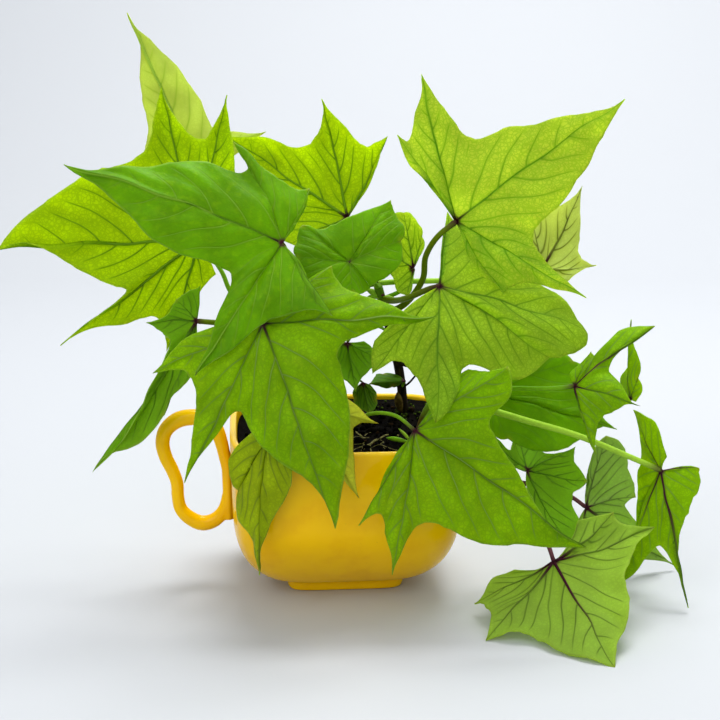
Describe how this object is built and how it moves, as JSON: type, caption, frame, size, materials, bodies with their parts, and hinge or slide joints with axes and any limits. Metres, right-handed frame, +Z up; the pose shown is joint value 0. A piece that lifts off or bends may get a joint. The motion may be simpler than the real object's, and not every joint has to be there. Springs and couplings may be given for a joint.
{
  "type": "potted sweet potato vine",
  "caption": "Sweet potato vine with deeply lobed, heart-based leaves, growing in a yellow glazed cup planter with a loop handle; its stems lean over one rim and trail down beside the cup.",
  "frame": {"origin": "centre of the cup's foot, on the surface that it stands on", "axes": "+Z up; +X away from the handle, towards the trailing stems; +Y to the back of the plant"},
  "size_m": [0.3133, 0.1644, 0.2581],
  "materials": {
    "glaze": "gloss",
    "soil": "matte",
    "bark": "matte",
    "vine": "satin",
    "leaf_bright": "satin",
    "leaf_deep": "satin",
    "leaf_pale": "satin"
  },
  "bodies": {
    "root": {"cup": "glaze", "soil": "soil", "woody_stem": "bark", "left_vine": "vine", "right_vine": "vine", "leaf_left_high": "leaf_bright", "leaf_left_front": "leaf_deep", "leaf_centre_front": "leaf_bright", "leaf_right_high": "leaf_bright", "leaf_right_middle": "leaf_bright", "leaf_right_shaded": "leaf_deep", "leaf_right_front": "leaf_deep", "leaf_on_table": "leaf_pale", "leaf_runner_end": "leaf_deep", "leaf_runner_upper": "leaf_deep", "leaf_runner_thin": "leaf_deep", "leaf_trailing_back": "leaf_pale", "leaf_trailing_inner": "leaf_deep", "leaf_top_centre": "leaf_bright", "leaf_crown_front": "leaf_deep", "leaf_crown_back": "leaf_bright", "leaf_small_hanging": "leaf_deep", "leaf_small_shaded": "leaf_deep", "leaf_small_low": "leaf_deep", "leaf_yellowing": "leaf_bright", "leaf_over_rim": "leaf_bright", "leaf_left_folded": "leaf_deep", "leaf_top_left": "leaf_bright", "leaf_back_right": "leaf_pale"}
  },
  "joints": []
}
